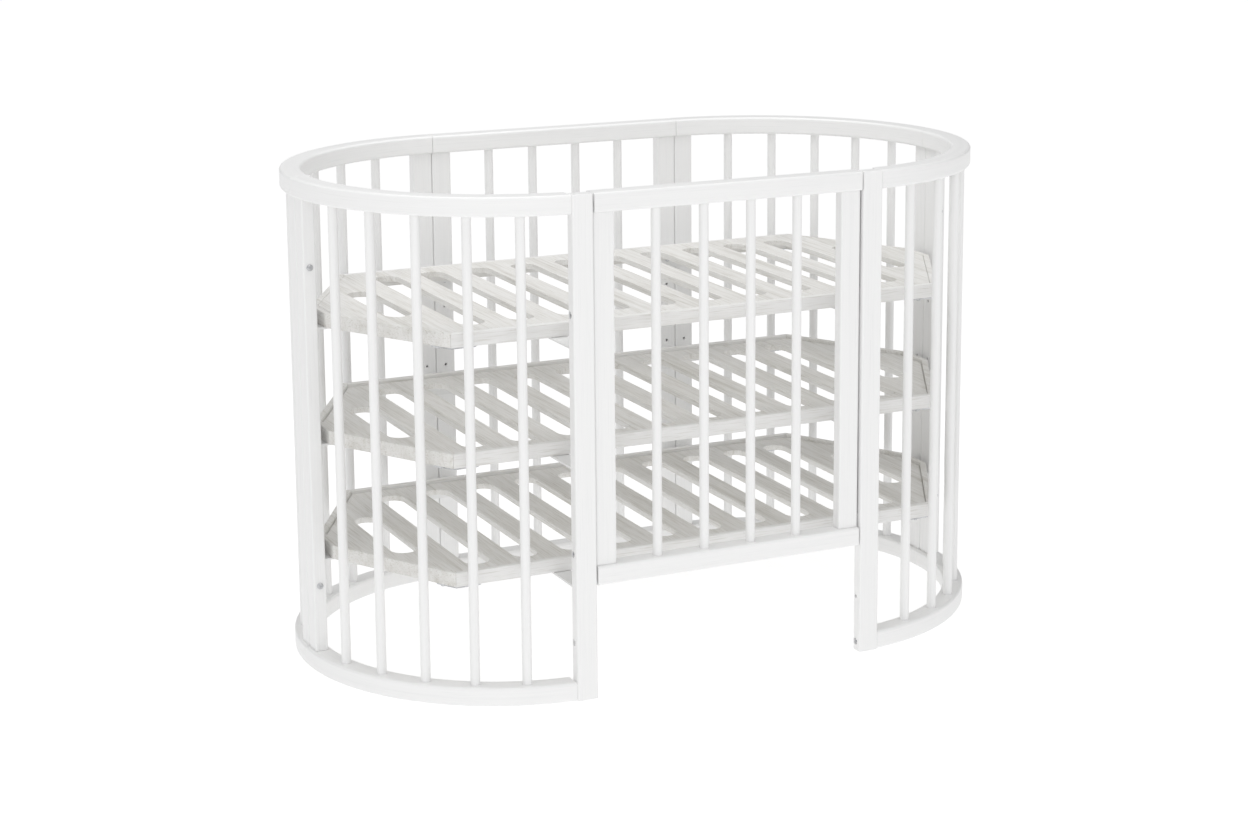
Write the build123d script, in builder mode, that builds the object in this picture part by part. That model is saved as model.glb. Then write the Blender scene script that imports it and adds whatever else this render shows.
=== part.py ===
"""Oval baby crib: a ring of six bolted wooden sections, a lowering front gate and three slatted decks.

Millimetres. +X runs along the crib, the gate is on the -Y side, +Z is up.
The origin is on the floor, under the middle of the oval.
"""
from build123d import *
import os
from math import cos, radians, sin, sqrt

# ---------------------------------------------------------------- overall sizes
length = 1240.0
width = 750.0
height = 835.0

# ---------------------------------------------------------------- ring timber
rail_depth = 36.0
rail_height = 32.0
rail_round = 4.5
post_width = 36.0
post_depth = 22.0
post_round = 3.0
end_chamfer = 0.8
seam_gap = 0.6
spindle_diameter = 16.0
spindle_seat = 12.0
quarter_spindles = 5
straight_spindles = 4

# ---------------------------------------------------------------- gate
gate_ground_gap = 191.0
gate_side_gap = 2.5
gate_drop = 149.0
lower_guide_above_rail = 23.0
upper_groove_below_rail = 14.0
guide_reach = 7.0

# ---------------------------------------------------------------- decks
lowest_deck_top = 214.0
deck_pitch = 198.0
deck_side_setback = 100.0
deck_end_gap = 12.0
deck_tip_overlap = 4.0
deck_rail_width = 25.0
deck_rail_height = 24.0
deck_rim_width = 11.0
deck_rim_round = 2.0
panel_thickness = 10.0
panel_drop = 6.0
slot_pitch = 86.0
slot_width = 44.0
slot_band = 26.0
slot_round = 1.2

# ---------------------------------------------------------------- fittings
joint_bolt_inset = 146.0
bolt_diameter = 6.0
bolt_head_diameter = 11.0
bolt_head_height = 3.2
bolt_end_shortfall = 4.0
bolt_socket = 4.0
bolt_socket_depth = 2.0
sleeve_diameter = 8.0
sleeve_length = 18.0
sleeve_cap = 2.0
counterbore_depth = 5.0
rail_bolt_grip = 34.0
rail_bolt_setback = 8.0
dowel_diameter = 8.0
dowel_half_length = 18.0
bracket_thickness = 3.0
bracket_leg = 36.0
bracket_pair_width = 60.0
bracket_single_width = 30.0
bracket_arm_inset = 2.0
screw_diameter = 4.0
screw_length = 16.0
screw_head_diameter = 8.0
screw_head_height = 2.4
head_round_share = 0.6
corner_plate_length = 42.0
corner_plate_thickness = 2.0
corner_plate_inset = 1.5
corner_plate_screw_share = 0.7
spare_hole_diameter = 5.0
spare_hole_depth = 10.0
spare_hole_heights = (408.0, 518.0)

# ---------------------------------------------------------------- fits
seat_clearance = 0.1
spindle_end_gap = 0.3
dowel_end_gap = 0.5
hole_end_clearance = 1.0
bolt_clearance = 0.2
counterbore_clearance = 0.5
guide_clearance = 0.4
guide_end_clearance = 1.0
panel_clearance = 0.5
mitre_gap = 0.4
corner_clearance = 6.0

# ---------------------------------------------------------------- worked-out places
outer_radius = width / 2
half_straight = (length - width) / 2
rail_radius = outer_radius - rail_depth / 2
inner_radius = outer_radius - rail_depth
post_inner_radius = rail_radius - post_depth / 2
rail_top_underside = height - rail_height
post_height = height - 2 * rail_height
half_seam = seam_gap / 2
bolt_heights = (joint_bolt_inset, height - joint_bolt_inset)
gate_half_width = half_straight - gate_side_gap
gate_height = height - gate_ground_gap
gate_post_inner_y = outer_radius - post_depth
guide_y = (gate_post_inner_y + rail_radius + post_depth / 2) / 2
lower_guide_height = gate_ground_gap + rail_height + lower_guide_above_rail
upper_guide_height = rail_top_underside - upper_groove_below_rail - gate_drop
guide_heights = (lower_guide_height, upper_guide_height)
rail_bolt_y = gate_post_inner_y + rail_bolt_setback
deck_tops = {
    "lower": lowest_deck_top,
    "middle": lowest_deck_top + deck_pitch,
    "upper": lowest_deck_top + 2 * deck_pitch,
}
panel_drops = {"lower": panel_drop, "middle": panel_drop, "upper": 0.0}
sides = (("left", -1), ("right", 1))

os.makedirs("parts", exist_ok=True)


def write(piece, name):
    """Labels a finished piece and writes it under its node's name."""
    piece.part.label = name
    export_step(piece.part, f"parts/{name}.step")


# ================================================================ spindle places
def quarter_spindle_points():
    """Centres of the spindles in the +X +Y quarter, evenly spaced between its two posts."""
    free_arc = rail_radius * radians(90) - 2 * post_width
    gap = (free_arc - quarter_spindles * spindle_diameter) / (quarter_spindles + 1)
    first = post_width + gap + spindle_diameter / 2
    angles = [(first + i * (gap + spindle_diameter)) / rail_radius for i in range(quarter_spindles)]
    return [(half_straight + rail_radius * cos(a), rail_radius * sin(a)) for a in angles]


def straight_spindle_points(half_inner_width):
    """Centres of the spindles of a straight section, evenly spaced between its two uprights."""
    gap = (2 * half_inner_width - straight_spindles * spindle_diameter) / (straight_spindles + 1)
    first = -half_inner_width + gap + spindle_diameter / 2
    return [(first + i * (gap + spindle_diameter), rail_radius) for i in range(straight_spindles)]


quarter_points = quarter_spindle_points()
back_points = straight_spindle_points(half_straight - post_width)
gate_points = straight_spindle_points(gate_half_width - post_width)

end_post_centre = (half_straight + rail_radius, half_seam + post_width / 2)
back_outer_post_centre = (half_straight + half_seam + post_width / 2, rail_radius)
back_inner_post_centre = (half_straight - half_seam - post_width / 2, rail_radius)
gate_post_centre = (half_straight + post_width / 2, outer_radius - post_depth / 2)
gate_stile_centre = (gate_half_width - post_width / 2, rail_radius)


# ================================================================ templates in the +X +Y quarter
def drill(points, diameter, start, depth):
    """Round blind holes along Z from the plane z = start, over a signed depth."""
    with BuildSketch(Plane.XY.offset(start)) as mouths:
        with Locations(*points):
            Circle(diameter / 2)
    extrude(mouths.sketch, amount=depth, mode=Mode.SUBTRACT)


def rail_holes(spindle_points, post_points, bottom, is_top):
    """Spindle and dowel holes in the face of a rail that looks at the other rail."""
    face = bottom if is_top else bottom + rail_height
    inward = 1 if is_top else -1
    drill(spindle_points, spindle_diameter + 2 * seat_clearance, face, inward * spindle_seat)
    drill(post_points, dowel_diameter + 2 * seat_clearance, face, inward * dowel_half_length)


def quarter_rail(bottom, is_top, at_gate):
    """A quarter of the oval rail. At the gate it stops at the outer side of the gate post."""
    stop_x = half_straight + (post_width if at_gate else half_seam)
    posts = [end_post_centre] if at_gate else [end_post_centre, back_outer_post_centre]
    with BuildPart() as rail:
        with BuildSketch(Plane.XZ) as section:
            with Locations((half_straight + rail_radius, bottom + rail_height / 2)):
                RectangleRounded(rail_depth, rail_height, rail_round)
        revolve(axis=Axis((half_straight, 0, 0), (0, 0, 1)), revolution_arc=90)
        split(bisect_by=Plane.YZ.offset(stop_x), keep=Keep.TOP)
        split(bisect_by=Plane.XZ.offset(-half_seam), keep=Keep.BOTTOM)
        ends = rail.faces().filter_by(GeomType.PLANE).filter_by(lambda f: abs(f.normal_at().Z) < 0.5)
        chamfer(ends.edges(), end_chamfer)
        rail_holes(quarter_points, posts, bottom, is_top)
        if at_gate:
            mouth = Plane((stop_x, rail_bolt_y, bottom + rail_height / 2), z_dir=(-1, 0, 0))
            bore(mouth, bolt_diameter + 2 * bolt_clearance, rail_bolt_grip + hole_end_clearance)
    return rail


def straight_rail(half_length, bottom, is_top, spindle_points, post_x):
    """A straight rail centred on x = 0."""
    with BuildPart() as rail:
        with BuildSketch(Plane.YZ.offset(-half_length)) as section:
            with Locations((rail_radius, bottom + rail_height / 2)):
                RectangleRounded(rail_depth, rail_height, rail_round)
        extrude(section.sketch, amount=2 * half_length)
        chamfer(rail.faces().filter_by(Axis.X).edges(), end_chamfer)
        rail_holes(spindle_points, [(-post_x, rail_radius), (post_x, rail_radius)], bottom, is_top)
    return rail


def upright(centre, along_x, along_y, bottom, tall):
    """A square-cut upright with rounded long edges and chamfered ends."""
    with BuildPart() as post:
        with BuildSketch(Plane.XY.offset(bottom)) as section:
            with Locations(centre):
                RectangleRounded(along_x, along_y, post_round)
        extrude(section.sketch, amount=tall)
        chamfer(post.faces().filter_by(Axis.Z).edges(), end_chamfer)
    return post


def bore(plane, diameter, depth):
    """A round hole in the piece being built, from the plane's origin against its normal."""
    with BuildSketch(plane) as mouth:
        Circle(diameter / 2)
    extrude(mouth.sketch, amount=-depth, mode=Mode.SUBTRACT)


def bracket_screw_height(top):
    """Height of the screws in the upright leg of a bracket under the deck with this top."""
    return top - deck_rail_height - (bracket_thickness + bracket_leg) / 2


def drill_joint_post(post, away, inward, takes_sleeve):
    """Drills a joint post for its dowels, the bolts across its seam and the screws in its inner face.

    away is the floor-level plane on the face turned from the seam, inward the one on the face
    turned to the middle of the crib. Both normals point out of the post.
    """
    with BuildPart() as drilled:
        add(post.part)
        centre = (post.part.center().X, post.part.center().Y)
        dowel_hole = dowel_diameter + 2 * seat_clearance
        drill([centre], dowel_hole, rail_height, dowel_half_length)
        drill([centre], dowel_hole, rail_top_underside, -dowel_half_length)
        for z in bolt_heights:
            across = Plane(away.origin + Vector(0, 0, z), z_dir=away.z_dir)
            bore(across, bolt_diameter + 2 * bolt_clearance, post_width)
            if takes_sleeve:
                bore(across, sleeve_diameter + 2 * bolt_clearance, sleeve_length + hole_end_clearance)
        for z in spare_hole_heights:
            spare = Plane(inward.origin + Vector(0, 0, z), z_dir=inward.z_dir)
            bore(spare, spare_hole_diameter, spare_hole_depth)
        for top in deck_tops.values():
            held = Plane(inward.origin + Vector(0, 0, bracket_screw_height(top)), z_dir=inward.z_dir)
            bore(held, screw_diameter + 2 * seat_clearance, screw_length)
    return drilled


def joint_post(centre, seam_along_x, away_sign, takes_sleeve):
    """A post under the rails beside a seam. seam_along_x is true where the bolts run along X."""
    along_x, along_y = (post_width, post_depth) if seam_along_x else (post_depth, post_width)
    post = upright(centre, along_x, along_y, rail_height, post_height)
    if seam_along_x:
        away = Plane((centre[0] + away_sign * post_width / 2, centre[1], 0), z_dir=(away_sign, 0, 0))
        inward = Plane((centre[0], centre[1] - post_depth / 2, 0), z_dir=(0, -1, 0))
    else:
        away = Plane((centre[0], centre[1] + post_width / 2, 0), z_dir=(0, 1, 0))
        inward = Plane((centre[0] - post_depth / 2, centre[1], 0), z_dir=(-1, 0, 0))
    return drill_joint_post(post, away, inward, takes_sleeve)


def gate_post():
    """The full-height post beside the gate, with recessed holes for its guide and rail bolts."""
    post = upright(gate_post_centre, post_width, post_depth, 0, height)
    outer_x = half_straight + post_width
    hole = bolt_diameter + 2 * bolt_clearance
    recess = bolt_head_diameter + 2 * counterbore_clearance
    with BuildPart() as drilled:
        add(post.part)
        for z in (*guide_heights, guide_heights[0] - gate_drop):
            outside = Plane((outer_x, guide_y, z), z_dir=(1, 0, 0))
            bore(outside, hole, post_width)
            bore(outside, recess, counterbore_depth)
        for z in (rail_height / 2, height - rail_height / 2):
            gate_side = Plane((half_straight, rail_bolt_y, z), z_dir=(-1, 0, 0))
            bore(gate_side, hole, post_width)
            bore(gate_side, recess, counterbore_depth)
        for top in deck_tops.values():
            place = (gate_post_centre[0], gate_post_inner_y, bracket_screw_height(top))
            held = Plane(place, z_dir=(0, -1, 0))
            bore(held, screw_diameter + 2 * seat_clearance, screw_length)
    return drilled


def gate_stile():
    """An upright of the gate. Grooves in its outer edge run on the guide bolts as the gate drops."""
    stile = upright(gate_stile_centre, post_width, post_depth, gate_ground_gap + rail_height,
                    gate_height - 2 * rail_height)
    dowel_hole = dowel_diameter + 2 * seat_clearance
    groove_width = bolt_diameter + 2 * guide_clearance
    with BuildPart() as grooved:
        add(stile.part)
        drill([gate_stile_centre], dowel_hole, gate_ground_gap + rail_height, dowel_half_length)
        drill([gate_stile_centre], dowel_hole, rail_top_underside, -dowel_half_length)
        for z in guide_heights:
            with BuildSketch(Plane.YZ.offset(gate_half_width)):
                with Locations((guide_y, z + gate_drop / 2)):
                    SlotOverall(gate_drop + groove_width, groove_width, rotation=90)
            extrude(amount=-guide_reach - guide_end_clearance, mode=Mode.SUBTRACT)
    return grooved


def rods(points, diameter, bottom, top):
    """Upright round rods, one at each point."""
    with BuildPart() as group:
        with BuildSketch(Plane.XY.offset(bottom)):
            with Locations(*points):
                Circle(diameter / 2)
        extrude(amount=top - bottom)
    return group


def mirrored(piece, side, end):
    """A copy of a +X +Y piece in another quarter."""
    with BuildPart() as copy:
        add(piece.part)
        if side < 0:
            mirror(about=Plane.YZ, mode=Mode.REPLACE)
        if end < 0:
            mirror(about=Plane.XZ, mode=Mode.REPLACE)
    return copy


# ================================================================ ring of quarters
spindle_bottom = rail_height - spindle_seat + spindle_end_gap
spindle_top = rail_top_underside + spindle_seat - spindle_end_gap
quarter_rods = rods(quarter_points, spindle_diameter, spindle_bottom, spindle_top)

for end_name, end in (("front", -1), ("back", 1)):
    at_gate = end < 0
    top_rail = quarter_rail(rail_top_underside, True, at_gate)
    bottom_rail = quarter_rail(0, False, at_gate)
    end_post = joint_post(end_post_centre, False, 1, takes_sleeve=not at_gate)
    for side_name, side in sides:
        write(mirrored(top_rail, side, end), f"{end_name}_{side_name}_top_rail")
        write(mirrored(bottom_rail, side, end), f"{end_name}_{side_name}_bottom_rail")
        write(mirrored(quarter_rods, side, end), f"{end_name}_{side_name}_spindles")
        write(mirrored(end_post, side, end), f"{side_name}_end_{end_name}_post")

gate_side_post = gate_post()
back_outer_post = joint_post(back_outer_post_centre, True, 1, takes_sleeve=False)
back_inner_post = joint_post(back_inner_post_centre, True, -1, takes_sleeve=True)
for side_name, side in sides:
    write(mirrored(gate_side_post, side, -1), f"{side_name}_gate_post")
    write(mirrored(back_outer_post, side, 1), f"back_{side_name}_corner_post")
    write(mirrored(back_inner_post, side, 1), f"back_{side_name}_middle_post")

# ================================================================ straight back section
back_half_length = half_straight - half_seam
back_post_x = back_inner_post_centre[0]
for rail_name, bottom, is_top in (("top", rail_top_underside, True), ("bottom", 0.0, False)):
    back_rail = straight_rail(back_half_length, bottom, is_top, back_points, back_post_x)
    write(back_rail, f"back_middle_{rail_name}_rail")
write(rods(back_points, spindle_diameter, spindle_bottom, spindle_top), "back_middle_spindles")

# ================================================================ gate
gate_stile_x = gate_stile_centre[0]
for rail_name, bottom, is_top in (("top", rail_top_underside, True), ("bottom", gate_ground_gap, False)):
    gate_rail = straight_rail(gate_half_width, bottom, is_top, gate_points, gate_stile_x)
    write(mirrored(gate_rail, 1, -1), f"gate_{rail_name}_rail")
grooved_stile = gate_stile()
for side_name, side in sides:
    write(mirrored(grooved_stile, side, -1), f"gate_{side_name}_stile")
gate_rods = rods(gate_points, spindle_diameter, gate_ground_gap + spindle_bottom, spindle_top)
write(mirrored(gate_rods, 1, -1), "gate_spindles")

# ================================================================ deck outline
deck_half_width = outer_radius - deck_side_setback
corner_reach = rail_radius - spindle_diameter / 2 - corner_clearance
deck_corner_x = half_straight + sqrt(corner_reach**2 - deck_half_width**2)
end_post_inner_x = half_straight + post_inner_radius
deck_tip_x = end_post_inner_x - deck_end_gap
deck_tip_half = post_width + deck_tip_overlap / 2
deck_quarter = [(deck_corner_x, deck_half_width), (deck_tip_x, deck_tip_half)]
deck_outline = (
    [(x, -y) for x, y in deck_quarter]
    + [(x, y) for x, y in reversed(deck_quarter)]
    + [(-x, y) for x, y in deck_quarter]
    + [(-x, -y) for x, y in reversed(deck_quarter)]
)


def inset(outline, distance):
    """Corners of a convex anticlockwise outline moved inwards by one distance on every side."""
    corners = []
    for i, corner in enumerate(outline):
        here = Vector(*corner)
        before = (here - Vector(*outline[i - 1])).normalized()
        after = (Vector(*outline[(i + 1) % len(outline)]) - here).normalized()
        normal_before = Vector(-before.Y, before.X)
        normal_after = Vector(-after.Y, after.X)
        mean = (normal_before + normal_after).normalized()
        moved = here + mean * (distance / mean.dot(normal_before))
        corners.append((moved.X, moved.Y))
    return corners


rim_inner = inset(deck_outline, deck_rim_width)
rail_inner = inset(deck_outline, deck_rail_width)
panel_outline = inset(deck_outline, deck_rim_width + panel_clearance)


def strip(outer, inner, first):
    """The four corners of the mitred strip along side number first of an outline."""
    second = (first + 1) % len(outer)
    along = (Vector(*outer[second]) - Vector(*outer[first])).normalized() * (mitre_gap / 2)
    starts = [Vector(*outer[first]) + along, Vector(*inner[first]) + along]
    stops = [Vector(*outer[second]) - along, Vector(*inner[second]) - along]
    return [(p.X, p.Y) for p in (starts[0], stops[0], stops[1], starts[1])]


# ================================================================ deck fittings in plan
rim_centre_y = deck_half_width - deck_rim_width / 2
rim_centre_x = deck_tip_x - deck_rim_width / 2
pair_x = (back_inner_post_centre[0], back_outer_post_centre[0])
plate_outer = inset(deck_outline, corner_plate_inset)
plate_inner = inset(deck_outline, deck_rail_width - corner_plate_inset)


def corner_plate_points(index):
    """Outline and screw places of the plate under one corner of a deck."""
    here = Vector(*plate_outer[index])
    inner = Vector(*plate_inner[index])
    towards = [Vector(*plate_outer[index - 1]), Vector(*plate_outer[(index + 1) % len(plate_outer)])]
    arms = [(other - here).normalized() * corner_plate_length for other in towards]
    outline = [here + arms[0], here, here + arms[1], inner + arms[1], inner, inner + arms[0]]
    middle_line = Vector(*inset(deck_outline, deck_rim_width / 2)[index])
    screws = [middle_line + arm * corner_plate_screw_share for arm in arms]
    return [(p.X, p.Y) for p in outline], [(p.X, p.Y) for p in screws]


main_corners = [i for i, (x, y) in enumerate(deck_outline) if abs(y) > deck_tip_half + 1]
bracket_screws = [(side * x, rim_centre_y) for side in (-1, 1) for x in pair_x]
bracket_screws += [(side * gate_post_centre[0], -rim_centre_y) for side in (-1, 1)]
bracket_screws += [(side * rim_centre_x, end * end_post_centre[1]) for side in (-1, 1) for end in (-1, 1)]
plate_screws = [place for i in main_corners for place in corner_plate_points(i)[1]]


# ================================================================ deck pieces
def deck_rail(top, first, drop):
    """One mitred frame rail of a deck, with a rebate that the slatted panel lies in."""
    underside = top - deck_rail_height
    with BuildPart() as rail:
        with BuildSketch(Plane.XY.offset(underside)):
            Polygon(*strip(deck_outline, rail_inner, first), align=None)
        extrude(amount=deck_rail_height)
        with BuildSketch(Plane.XY.offset(top)):
            Polygon(*strip(rim_inner, rail_inner, first), align=None)
        extrude(amount=-(drop + panel_thickness), mode=Mode.SUBTRACT)
        fillet(rail.edges().group_by(Axis.Z)[-1].sort_by(Edge.length)[-2:], deck_rim_round)
        fillet(rail.edges().group_by(Axis.Z)[0].sort_by(Edge.length)[-1:], deck_rim_round)
        drill(bracket_screws, screw_diameter + 2 * seat_clearance, underside, screw_length)
        drill(plate_screws, screw_diameter + 2 * seat_clearance, underside, screw_length)
    return rail


def gathered(pieces):
    """Separate pieces held in one part, each as its own solid."""
    with BuildPart() as group:
        for piece in pieces:
            add(piece.part)
    return group


def slot_half_length(x):
    """How far a slot at this x may run from the middle line before it meets the solid band."""
    corner, tip = sorted((Vector(*p) for p in rail_inner if p[0] > 0 and p[1] > 0), key=lambda p: p.X)
    far_x = abs(x) + slot_width / 2
    if far_x <= corner.X:
        return corner.Y - slot_band
    share = (far_x - corner.X) / (tip.X - corner.X)
    return corner.Y + share * (tip.Y - corner.Y) - slot_band


def slat_panel(top, drop):
    """The lying board of a deck: slats across the crib, left between round-ended slots."""
    slot_count = int(deck_tip_x / slot_pitch)
    places = [(i + 0.5) * slot_pitch for i in range(-slot_count, slot_count)]
    with BuildPart() as panel:
        with BuildSketch(Plane.XY.offset(top - drop - panel_thickness)):
            Polygon(*panel_outline, align=None)
            for x in places:
                half = slot_half_length(x)
                if half > slot_width:
                    with Locations((x, 0)):
                        SlotOverall(2 * half, slot_width, rotation=90, mode=Mode.SUBTRACT)
        extrude(amount=panel_thickness)
        fillet(panel.edges().group_by(Axis.Z)[-1], slot_round)
    return panel


def angle_bracket(plane, post_face, arm_end, underside, half_width):
    """Adds a bent steel bracket: an arm under the deck and a leg down the face of a post."""
    arm_middle = (post_face + arm_end) / 2
    with BuildSketch(plane) as section:
        with Locations((arm_middle, underside - bracket_thickness / 2)):
            Rectangle(abs(post_face - arm_end), bracket_thickness)
        leg_centre = post_face + bracket_thickness / 2 * (1 if arm_end > post_face else -1)
        with Locations((leg_centre, underside - bracket_leg / 2)):
            Rectangle(bracket_thickness, bracket_leg)
    extrude(section.sketch, amount=half_width, both=True)


def deck_brackets(top):
    """The angle brackets that carry a deck: on the back joints, the gate posts and the end joints."""
    underside = top - deck_rail_height
    leg_z = bracket_screw_height(top)
    hole = screw_diameter + 2 * seat_clearance
    arm_inner_y = deck_half_width - deck_rail_width + bracket_arm_inset
    arm_inner_x = deck_tip_x - deck_rail_width + bracket_arm_inset
    pair_half = bracket_pair_width / 2
    single_half = bracket_single_width / 2
    with BuildPart() as brackets:
        for side in (-1, 1):
            back_plane = Plane.YZ.offset(side * half_straight)
            angle_bracket(back_plane, post_inner_radius, arm_inner_y, underside, pair_half)
            gate_plane = Plane.YZ.offset(side * gate_post_centre[0])
            angle_bracket(gate_plane, -gate_post_inner_y, -arm_inner_y, underside, single_half)
            angle_bracket(Plane.XZ, side * end_post_inner_x, side * arm_inner_x, underside, pair_half)
            screws = [Plane((side * x, post_inner_radius, leg_z), z_dir=(0, 1, 0)) for x in pair_x]
            screws.append(Plane((side * gate_post_centre[0], -gate_post_inner_y, leg_z), z_dir=(0, -1, 0)))
            for end in (-1, 1):
                place = (side * end_post_inner_x, end * end_post_centre[1], leg_z)
                screws.append(Plane(place, z_dir=(side, 0, 0)))
            for screw in screws:
                bore(screw, hole, bracket_leg)
        drill(bracket_screws, hole, underside, -bracket_thickness)
    return brackets


def corner_plates(top):
    """Flat plates that tie the mitred corners of a deck's frame together from below."""
    underside = top - deck_rail_height
    with BuildPart() as plates:
        with BuildSketch(Plane.XY.offset(underside)):
            for i in main_corners:
                Polygon(*corner_plate_points(i)[0], align=None)
        extrude(amount=-corner_plate_thickness)
        drill(plate_screws, screw_diameter + 2 * seat_clearance, underside, -corner_plate_thickness)
    return plates


# ================================================================ fasteners
def fastener(head_diameter, head_height, shank_diameter, shank_length, socket=0.0):
    """A round-headed fastener along Z. Its head stands on z = 0 and its shank goes down."""
    with BuildPart() as piece:
        with BuildSketch():
            Circle(head_diameter / 2)
        extrude(amount=head_height)
        fillet(piece.edges().group_by(Axis.Z)[-1], head_height * head_round_share)
        with BuildSketch():
            Circle(shank_diameter / 2)
        extrude(amount=-shank_length)
        if socket:
            with BuildSketch(Plane.XY.offset(head_height)):
                RegularPolygon(socket / 2, 6)
            extrude(amount=-bolt_socket_depth, mode=Mode.SUBTRACT)
    return piece


def placed(fitting, planes):
    """One fastener repeated on many planes, its head on the side that each normal points to."""
    with BuildPart() as group:
        for plane in planes:
            with Locations(plane.location):
                add(fitting.part)
    return group


screw_shank = screw_length - hole_end_clearance
wood_screw = fastener(screw_head_diameter, screw_head_height, screw_diameter, screw_shank)
joint_bolt_length = 2 * (post_width + half_seam) - bolt_end_shortfall
joint_bolt = fastener(bolt_head_diameter, bolt_head_height, bolt_diameter, joint_bolt_length, bolt_socket)
guide_bolt_length = half_straight + post_width - counterbore_depth - (gate_half_width - guide_reach)
guide_bolt = fastener(bolt_head_diameter, bolt_head_height, bolt_diameter, guide_bolt_length, bolt_socket)
rail_bolt_length = post_width - counterbore_depth + rail_bolt_grip
rail_bolt = fastener(bolt_head_diameter, bolt_head_height, bolt_diameter, rail_bolt_length, bolt_socket)

with BuildPart() as sleeve_nut:
    add(fastener(bolt_head_diameter, bolt_head_height, sleeve_diameter, sleeve_length).part)
    with BuildSketch(Plane.XY.offset(-sleeve_length)):
        Circle(bolt_diameter / 2 + seat_clearance)
    extrude(amount=sleeve_length - sleeve_cap, mode=Mode.SUBTRACT)


def deck_screw_planes(top):
    """Where the wood screws of a deck go: into the posts, and up into the frame rails."""
    underside = top - deck_rail_height
    leg_z = bracket_screw_height(top)
    leg_y = post_inner_radius - bracket_thickness
    gate_leg_y = gate_post_inner_y - bracket_thickness
    leg_x = end_post_inner_x - bracket_thickness
    planes = [Plane((x, y, underside - bracket_thickness), z_dir=(0, 0, -1)) for x, y in bracket_screws]
    planes += [Plane((x, y, underside - corner_plate_thickness), z_dir=(0, 0, -1)) for x, y in plate_screws]
    for side in (-1, 1):
        planes += [Plane((side * x, leg_y, leg_z), z_dir=(0, -1, 0)) for x in pair_x]
        planes.append(Plane((side * gate_post_centre[0], -gate_leg_y, leg_z), z_dir=(0, 1, 0)))
        for end in (-1, 1):
            planes.append(Plane((side * leg_x, end * end_post_centre[1], leg_z), z_dir=(-side, 0, 0)))
    return planes


# ================================================================ decks
side_count = len(deck_outline)
middles = [
    ((deck_outline[i][0] + deck_outline[(i + 1) % side_count][0]) / 2,
     (deck_outline[i][1] + deck_outline[(i + 1) % side_count][1]) / 2)
    for i in range(side_count)
]
deck_sides = {
    "front_rail": [i for i, (x, y) in enumerate(middles) if abs(x) < 1 and y < 0],
    "back_rail": [i for i, (x, y) in enumerate(middles) if abs(x) < 1 and y > 0],
    "left_end_rails": [i for i, (x, y) in enumerate(middles) if x < -1],
    "right_end_rails": [i for i, (x, y) in enumerate(middles) if x > 1],
}
for level, top in deck_tops.items():
    for rail_name, wanted in deck_sides.items():
        rails = [deck_rail(top, first, panel_drops[level]) for first in wanted]
        write(gathered(rails), f"{level}_deck_{rail_name}")
    write(slat_panel(top, panel_drops[level]), f"{level}_deck_slat_panel")
    write(deck_brackets(top), f"{level}_deck_brackets")
    write(corner_plates(top), f"{level}_deck_corner_plates")
    write(placed(wood_screw, deck_screw_planes(top)), f"{level}_deck_screws")

# ================================================================ ring and gate fasteners
end_post_x = end_post_centre[0]
end_face = half_seam + post_width
quarter_face_x = half_straight + half_seam + post_width
middle_face_x = half_straight - half_seam - post_width
bolt_planes = []
nut_planes = []
for side in (-1, 1):
    for z in bolt_heights:
        bolt_planes.append(Plane((side * end_post_x, -end_face, z), z_dir=(0, -1, 0)))
        nut_planes.append(Plane((side * end_post_x, end_face, z), z_dir=(0, 1, 0)))
        bolt_planes.append(Plane((side * quarter_face_x, rail_radius, z), z_dir=(side, 0, 0)))
        nut_planes.append(Plane((side * middle_face_x, rail_radius, z), z_dir=(-side, 0, 0)))
write(placed(joint_bolt, bolt_planes), "joint_bolts")
write(placed(sleeve_nut, nut_planes), "joint_sleeve_nuts")

recess_x = half_straight + post_width - counterbore_depth
guide_planes = [
    Plane((side * recess_x, -guide_y, z), z_dir=(side, 0, 0))
    for side in (-1, 1)
    for z in guide_heights
]
write(placed(guide_bolt, guide_planes), "gate_guide_bolts")
rail_bolt_x = half_straight + counterbore_depth
rail_bolt_planes = [
    Plane((side * rail_bolt_x, -rail_bolt_y, z), z_dir=(-side, 0, 0))
    for side in (-1, 1)
    for z in (rail_height / 2, height - rail_height / 2)
]
write(placed(rail_bolt, rail_bolt_planes), "rail_end_bolts")

dowel_span = dowel_half_length - dowel_end_gap
ring_dowel_points = [
    (side * x, y)
    for side in (-1, 1)
    for x, y in (
        end_post_centre,
        (end_post_centre[0], -end_post_centre[1]),
        back_outer_post_centre,
        back_inner_post_centre,
    )
]
with BuildPart() as ring_dowels:
    for joint_z in (rail_height, rail_top_underside):
        add(rods(ring_dowel_points, dowel_diameter, joint_z - dowel_span, joint_z + dowel_span).part)
write(ring_dowels, "ring_dowels")
gate_dowel_points = [(side * gate_stile_x, -rail_radius) for side in (-1, 1)]
with BuildPart() as gate_dowels:
    for joint_z in (gate_ground_gap + rail_height, rail_top_underside):
        add(rods(gate_dowel_points, dowel_diameter, joint_z - dowel_span, joint_z + dowel_span).part)
write(gate_dowels, "gate_dowels")
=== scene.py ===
"""Looks of the oval baby crib: painted ring and gate, washed decks, plated fittings, studio."""

import math

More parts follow.
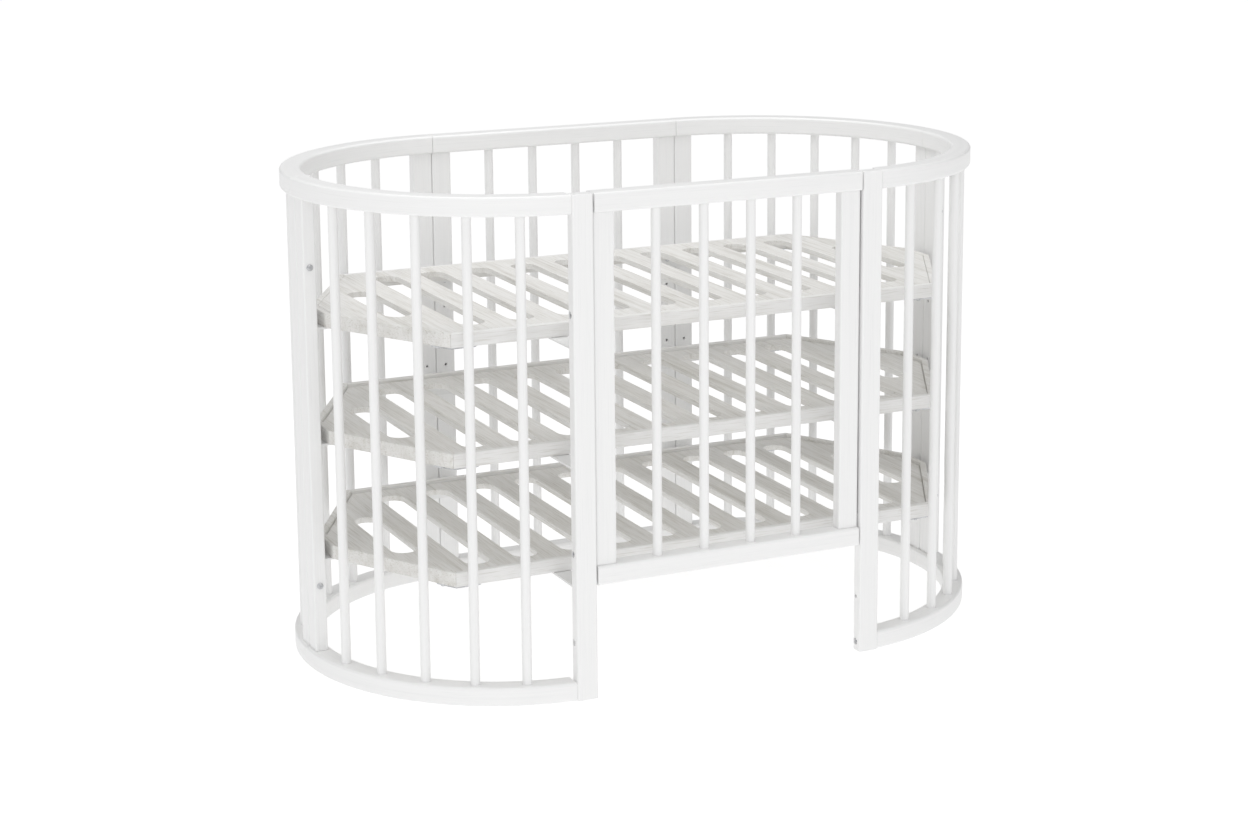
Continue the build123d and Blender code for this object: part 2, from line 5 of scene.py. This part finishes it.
import bpy
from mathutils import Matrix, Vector


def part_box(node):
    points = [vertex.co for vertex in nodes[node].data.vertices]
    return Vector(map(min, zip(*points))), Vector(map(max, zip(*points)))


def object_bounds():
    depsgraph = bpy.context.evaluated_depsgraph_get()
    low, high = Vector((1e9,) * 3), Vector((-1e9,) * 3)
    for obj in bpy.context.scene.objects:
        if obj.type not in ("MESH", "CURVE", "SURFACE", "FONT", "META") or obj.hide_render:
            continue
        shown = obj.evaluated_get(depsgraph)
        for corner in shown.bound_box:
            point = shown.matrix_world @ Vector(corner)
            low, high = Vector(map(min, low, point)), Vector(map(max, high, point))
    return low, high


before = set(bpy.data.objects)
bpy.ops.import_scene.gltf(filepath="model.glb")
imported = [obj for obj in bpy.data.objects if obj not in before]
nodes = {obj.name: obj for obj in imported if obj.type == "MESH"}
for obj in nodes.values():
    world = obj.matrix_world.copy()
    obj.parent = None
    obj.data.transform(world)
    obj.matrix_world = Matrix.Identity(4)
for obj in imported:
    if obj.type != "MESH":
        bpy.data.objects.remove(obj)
cad_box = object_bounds()


# ---------------------------------------------------------------- sizes read from the frame
LOW, HIGH = cad_box
RAIL_LOW, RAIL_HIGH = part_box("back_middle_top_rail")
HALF_STRAIGHT = HIGH.x - HIGH.y
RAIL_RADIUS = HIGH.y - (RAIL_HIGH.y - RAIL_LOW.y) / 2


# ---------------------------------------------------------------- tones and finishes
WHITE = (1.0, 1.0, 1.0)
NOISE_LOW, NOISE_HIGH = 0.3, 0.7  # nearly all of a noise lies between these

# Tables of (place on the noise, tone), from one end of a noise to the other.
PAINT_FIGURE_TONES = [(0.3, (0.867, 0.868, 0.867)), (0.5, (0.885, 0.885, 0.883)),
                      (0.7, (0.893, 0.893, 0.891))]
PAINT_PORE_TONES = [(0.32, (0.962, 0.963, 0.964)), (0.45, WHITE)]
WOOD_LINE_TONES = [(0.30, (0.66, 0.647, 0.61)), (0.44, (0.775, 0.767, 0.744)),
                   (0.58, (0.84, 0.835, 0.82)), (0.76, (0.75, 0.742, 0.716))]
WOOD_PORE_TONES = [(0.32, (0.84, 0.828, 0.80)), (0.47, WHITE)]
WOOD_CLOUD_TONES = [(0.3, (0.955, 0.95, 0.94)), (0.7, WHITE)]
BEECH_TONES = [(0.3, (0.46, 0.31, 0.19)), (0.7, (0.66, 0.49, 0.33))]
ZINC_TONES = [(0.3, (0.50, 0.51, 0.53)), (0.7, (0.68, 0.68, 0.69))]
COAT_TONES = [(0.3, (0.80, 0.80, 0.795)), (0.7, (0.84, 0.84, 0.836))]

PAINTED_LIGHT_TONE = 0.9          # a lighter wash tone that the long deck rails are brought towards as painted light, a neutral grey this light
DECK_RAIL_PAINTED_LIGHT = 0.6    # painted light: how far the long deck rails are lightened towards that tone, a lighter copy of the deck wood standing for the light on their faces
DECK_PANEL_PAINTED_LIGHT = 0.0   # and of the panels and end rails, whose tones are already washed and get no painted light

# Times a noise repeats in a metre: along the grain, then across it both ways.
PAINT_PORES, PAINT_FIGURE = (11.0, 520.0, 520.0), (2.4, 130.0, 130.0)
WOOD_PORES, WOOD_LINES = (16.0, 480.0, 480.0), (2.2, 70.0, 24.0)
BEECH_LINES = (6.0, 160.0, 160.0)

# ---------------------------------------------------------------- lights, floor and camera
KEY_PLACE, KEY_AIM = (-1.3, -2.9, 1.6), (-0.15, 0.0, 0.45)
KEY_SIZE, KEY_WATTS = (1.8, 1.8), 8.5
TOP_PLACE = (-0.4, 0.2, 3.0)
TOP_SIZE, TOP_WATTS = (2.4, 1.8), 27.0
SKY_BRIGHT_WAY = (-0.2, -0.6, 0.77)      # towards the brightest part of the surroundings
SKY_DARKEST, SKY_BRIGHTEST = 0.0, 0.86
FLOOR_HALF = 60.0                        # metres, past the edge of every view
FLOOR_TONE, FLOOR_GLOW = 0.35, 0.78
EYE_AZIMUTH, EYE_ELEVATION = -26.96, 11.48
EYE_DISTANCE = 4.580
EYE_TARGET = (0.182, 0.0, 0.573)
LENS, SENSOR_WIDTH = 73.8, 36.0
SHIFT_X, SHIFT_Y = -0.083, -0.1009
CLIP_END = 200.0


# ---------------------------------------------------------------- shader building blocks
class Shader:
    """A material's node tree with short helpers, so that each finish reads as a recipe."""

    SOCKETS = {"colour": "Base Color", "roughness": "Roughness", "normal": "Normal",
               "metallic": "Metallic", "coat": "Coat Weight",
               "coat_roughness": "Coat Roughness", "specular": "Specular IOR Level",
               "glow": "Emission Color", "glow_strength": "Emission Strength"}

    def __init__(self, name):
        self.material = bpy.data.materials.new(name)
        self.material.use_nodes = True
        self.tree = self.material.node_tree
        self.surface = self.tree.nodes["Principled BSDF"]
        self.place = self.node("ShaderNodeTexCoord").outputs["Object"]

    def node(self, kind, **values):
        made = self.tree.nodes.new(kind)
        for key, value in values.items():
            setattr(made, key, value)
        return made

    def link(self, source, target):
        self.tree.links.new(source, target)

    def feed(self, node, socket, value):
        """Links a socket into the node, or sets a plain value."""
        if isinstance(value, bpy.types.NodeSocket):
            self.link(value, node.inputs[socket])
        else:
            node.inputs[socket].default_value = value

    def maths(self, operation, first, second=0.0):
        made = self.node("ShaderNodeMath", operation=operation)
        self.feed(made, 0, first)
        self.feed(made, 1, second)
        return made.outputs[0]

    def noise(self, source, scale, detail=3.0, roughness=0.5, distortion=0.0):
        made = self.node("ShaderNodeTexNoise")
        self.feed(made, "Vector", source)
        self.feed(made, "Scale", scale)
        self.feed(made, "Detail", detail)
        self.feed(made, "Roughness", roughness)
        self.feed(made, "Distortion", distortion)
        return made.outputs["Fac"]

    def grain(self, source, repeats, **settings):
        """A noise stretched along the timber, from its repeats in a metre each way."""
        made = self.node("ShaderNodeMapping")
        self.feed(made, "Vector", source)
        self.feed(made, "Scale", repeats)
        return self.noise(made.outputs[0], 1.0, **settings)

    def spread(self, source, to_low, to_high):
        """A noise turned into a value between two others."""
        made = self.node("ShaderNodeMapRange")
        self.feed(made, "Value", source)
        self.feed(made, "From Min", NOISE_LOW)
        self.feed(made, "From Max", NOISE_HIGH)
        self.feed(made, "To Min", to_low)
        self.feed(made, "To Max", to_high)
        return made.outputs[0]

    def ramp(self, source, stops):
        """A noise turned into tones."""
        made = self.node("ShaderNodeValToRGB")
        self.feed(made, "Fac", source)
        elements = made.color_ramp.elements
        while len(elements) < len(stops):
            elements.new(0.5)
        for element, (position, colour) in zip(elements, stops):
            element.position = position
            element.color = (*colour, 1.0)
        return made.outputs["Color"]

    def times(self, first, second):
        """Two colours multiplied."""
        made = self.node("ShaderNodeMix", data_type="RGBA", blend_type="MULTIPLY")
        self.feed(made, "Factor", 1.0)
        inputs = [socket for socket in made.inputs if socket.type == "RGBA"]
        self.link(first, inputs[0])
        self.link(second, inputs[1])
        return next(socket for socket in made.outputs if socket.type == "RGBA")

    def bump(self, height, strength, distance, under=None):
        """A normal raised by a height over another normal, distance in metres."""
        made = self.node("ShaderNodeBump")
        self.feed(made, "Height", height)
        self.feed(made, "Strength", strength)
        self.feed(made, "Distance", distance)
        if under is not None:
            self.feed(made, "Normal", under)
        return made.outputs["Normal"]

    def set(self, **values):
        for key, value in values.items():
            self.feed(self.surface, self.SOCKETS[key], value)


def grain_place(shader, direction, side=0):
    """Coordinates whose X runs along the timber's grain: straight, or round an end of the oval."""
    split = shader.node("ShaderNodeSeparateXYZ")
    shader.link(shader.place, split.inputs[0])
    x, y, z = split.outputs
    join = shader.node("ShaderNodeCombineXYZ")
    if direction == "round":
        across_x = shader.maths("SUBTRACT", x, side * HALF_STRAIGHT)
        angle = shader.maths("ARCTAN2", y, across_x)
        squares = shader.maths("ADD", shader.maths("MULTIPLY", across_x, across_x),
                               shader.maths("MULTIPLY", y, y))
        ways = shader.maths("MULTIPLY", angle, RAIL_RADIUS), shader.maths("SQRT", squares), z
    else:
        ways = {"x": (x, y, z), "y": (y, x, z), "z": (z, x, y)}[direction]
    for axis, value in enumerate(ways):
        shader.feed(join, axis, value)
    return join.outputs[0]


# ---------------------------------------------------------------- finishes
def white_paint(direction, side=0):
    """Satin white paint: faint open grain along the timber, brush tone, a soft uneven gloss."""
    shader = Shader(f"white_paint_{direction}_{side}")
    place = grain_place(shader, direction, side)
    pores = shader.grain(place, PAINT_PORES, detail=4.0, roughness=0.62, distortion=0.3)
    figure = shader.grain(place, PAINT_FIGURE, detail=5.0, roughness=0.6, distortion=0.9)
    film = shader.noise(place, 900.0, detail=2.0)
    base = shader.ramp(figure, PAINT_FIGURE_TONES)
    lines = shader.ramp(pores, PAINT_PORE_TONES)
    normal = shader.bump(pores, strength=0.3, distance=0.00025)
    normal = shader.bump(figure, strength=0.12, distance=0.0005, under=normal)
    normal = shader.bump(film, strength=0.06, distance=0.0001, under=normal)
    shader.set(colour=shader.times(base, lines), normal=normal, specular=0.45,
               roughness=shader.spread(figure, to_low=0.34, to_high=0.48),
               coat=0.08, coat_roughness=0.3)
    return shader.material


def washed(tones, painted_light):
    """Tones brought towards a lighter wash tone as painted light, all the way as painted_light
    goes to 1.
    """
    return [(place, tuple(part + painted_light * (PAINTED_LIGHT_TONE - part) for part in tone))
            for place, tone in tones]


def washed_wood(direction, painted_light):
    """Whitewashed birch: grey-beige grain lines and pores under the wash."""
    shader = Shader(f"washed_wood_{direction}")
    place = grain_place(shader, direction)
    lines = shader.grain(place, WOOD_LINES, detail=6.0, roughness=0.62, distortion=1.1)
    pores = shader.grain(place, WOOD_PORES, detail=3.0, roughness=0.6)
    cloud = shader.noise(place, 4.5, detail=2.0)
    # painted light: the grain tones are lightened by painted_light, nonzero only for the long deck
    # rails
    wood = shader.ramp(lines, washed(WOOD_LINE_TONES, painted_light))
    pored = shader.times(wood, shader.ramp(pores, WOOD_PORE_TONES))
    clouded = shader.times(pored, shader.ramp(cloud, WOOD_CLOUD_TONES))
    normal = shader.bump(pores, strength=0.35, distance=0.0003)
    normal = shader.bump(lines, strength=0.25, distance=0.0005, under=normal)
    shader.set(colour=clouded, normal=normal, specular=0.35,
               roughness=shader.spread(lines, to_low=0.5, to_high=0.64))
    return shader.material


def bare_beech():
    """Pale pinkish beech with short darker flecks, for the dowels."""
    shader = Shader("bare_beech")
    place = grain_place(shader, "z")
    lines = shader.grain(place, BEECH_LINES, detail=4.0, roughness=0.6, distortion=0.6)
    shader.set(colour=shader.ramp(lines, BEECH_TONES), roughness=0.62,
               normal=shader.bump(lines, strength=0.3, distance=0.0003))
    return shader.material


def zinc_steel():
    """Bright zinc-plated steel: a slightly cloudy plating with a fine tooth."""
    shader = Shader("zinc_steel")
    cloud = shader.noise(shader.place, 260.0, detail=3.0)
    tooth = shader.noise(shader.place, 2600.0, detail=2.0)
    shader.set(colour=shader.ramp(cloud, ZINC_TONES), metallic=1.0,
               roughness=shader.spread(cloud, to_low=0.24, to_high=0.4),
               normal=shader.bump(tooth, strength=0.12, distance=0.0001))
    return shader.material


def powder_coat():
    """White powder coat: fine orange peel over bent steel."""
    shader = Shader("powder_coat")
    peel = shader.noise(shader.place, 1400.0, detail=2.0)
    cloud = shader.noise(shader.place, 30.0, detail=2.0)
    shader.set(colour=shader.ramp(cloud, COAT_TONES), roughness=0.42, specular=0.5,
               normal=shader.bump(peel, strength=0.25, distance=0.00015))
    return shader.material


PAINT = {(direction, side): white_paint(direction, side)
         for direction, side in (("x", 0), ("z", 0), ("round", -1), ("round", 1))}
# the 'x' copy, for the long deck rails, is the deck wood made lighter as painted light for the
# light on them; the 'y' copy has none
WASH = {"x": washed_wood("x", DECK_RAIL_PAINTED_LIGHT), "y": washed_wood("y", DECK_PANEL_PAINTED_LIGHT)}
BEECH = bare_beech()
ZINC = zinc_steel()
COAT = powder_coat()


def finish_for(name):
    """The material of a CAD node, from what the piece is and which way its grain runs."""
    if name.endswith("_dowels"):
        return BEECH
    if name.endswith(("_screws", "_corner_plates", "bolts", "nuts")):
        return ZINC
    if name.endswith("_brackets"):
        return COAT
    if "_deck_" in name:
        # the long front and back deck rails take the lighter copy of the deck wood: painted light
        return WASH["x"] if name.endswith(("front_rail", "back_rail")) else WASH["y"]
    if name.endswith("_rail"):
        if "_left_" in name:
            return PAINT["round", -1]
        if "_right_" in name:
            return PAINT["round", 1]
        return PAINT["x", 0]
    return PAINT["z", 0]


for name, node in nodes.items():
    node.data.materials.clear()
    node.data.materials.append(finish_for(name))


# ---------------------------------------------------------------- studio
def area_light(name, place, aim, size, power):
    light = bpy.data.lights.new(name, "AREA")
    light.shape = "RECTANGLE"
    light.size, light.size_y = size
    light.energy = power
    lamp = bpy.data.objects.new(name, light)
    lamp.location = place
    lamp.rotation_euler = (Vector(aim) - Vector(place)).to_track_quat("-Z", "Y").to_euler()
    bpy.context.collection.objects.link(lamp)


def surroundings():
    """White all round, brightest in front and overhead and fading to dark opposite."""
    world = bpy.data.worlds.new("studio")
    world.use_nodes = True
    tree = world.node_tree
    sky = tree.nodes.new("ShaderNodeTexCoord")
    facing = tree.nodes.new("ShaderNodeVectorMath")
    facing.operation = "DOT_PRODUCT"
    facing.inputs[1].default_value = SKY_BRIGHT_WAY
    fade = tree.nodes.new("ShaderNodeMapRange")
    for socket, value in (("From Min", -1.0), ("From Max", 1.0),
                          ("To Min", SKY_DARKEST), ("To Max", SKY_BRIGHTEST)):
        fade.inputs[socket].default_value = value
    background = tree.nodes["Background"]
    background.inputs["Color"].default_value = (*WHITE, 1.0)
    tree.links.new(sky.outputs["Generated"], facing.inputs[0])
    tree.links.new(facing.outputs["Value"], fade.inputs["Value"])
    tree.links.new(fade.outputs[0], background.inputs["Strength"])
    bpy.context.scene.world = world


def studio():
    area_light("key", KEY_PLACE, KEY_AIM, KEY_SIZE, KEY_WATTS)
    area_light("top", TOP_PLACE, (LOW + HIGH) / 2, TOP_SIZE, TOP_WATTS)
    surroundings()
    bpy.context.scene.view_settings.view_transform = "Standard"


def floor():
    """A plain pale floor, big enough to fill every view."""
    corners = [(x, y, LOW.z) for x, y in ((-FLOOR_HALF, -FLOOR_HALF), (FLOOR_HALF, -FLOOR_HALF),
                                          (FLOOR_HALF, FLOOR_HALF), (-FLOOR_HALF, FLOOR_HALF))]
    mesh = bpy.data.meshes.new("floor")
    mesh.from_pydata(corners, [], [(0, 1, 2, 3)])
    plane = bpy.data.objects.new("floor", mesh)
    bpy.context.collection.objects.link(plane)
    shader = Shader("pale_floor")
    shader.set(colour=(FLOOR_TONE, FLOOR_TONE, FLOOR_TONE, 1.0), roughness=0.9, specular=0.1,
               glow=(*WHITE, 1.0), glow_strength=FLOOR_GLOW)
    mesh.materials.append(shader.material)


def camera():
    """The reference view: from the front left, a little above the top rail."""
    azimuth, elevation = math.radians(EYE_AZIMUTH), math.radians(EYE_ELEVATION)
    back = Vector((math.sin(azimuth) * math.cos(elevation),
                   -math.cos(azimuth) * math.cos(elevation), math.sin(elevation)))
    data = bpy.data.cameras.new("camera")
    data.lens = LENS
    data.sensor_width = SENSOR_WIDTH
    data.shift_x, data.shift_y = SHIFT_X, SHIFT_Y
    data.clip_end = CLIP_END
    eye = bpy.data.objects.new("camera", data)
    eye.location = Vector(EYE_TARGET) + back * EYE_DISTANCE
    eye.rotation_euler = (-back).to_track_quat("-Z", "Y").to_euler()
    bpy.context.collection.objects.link(eye)
    bpy.context.scene.camera = eye


studio()
floor()
camera()
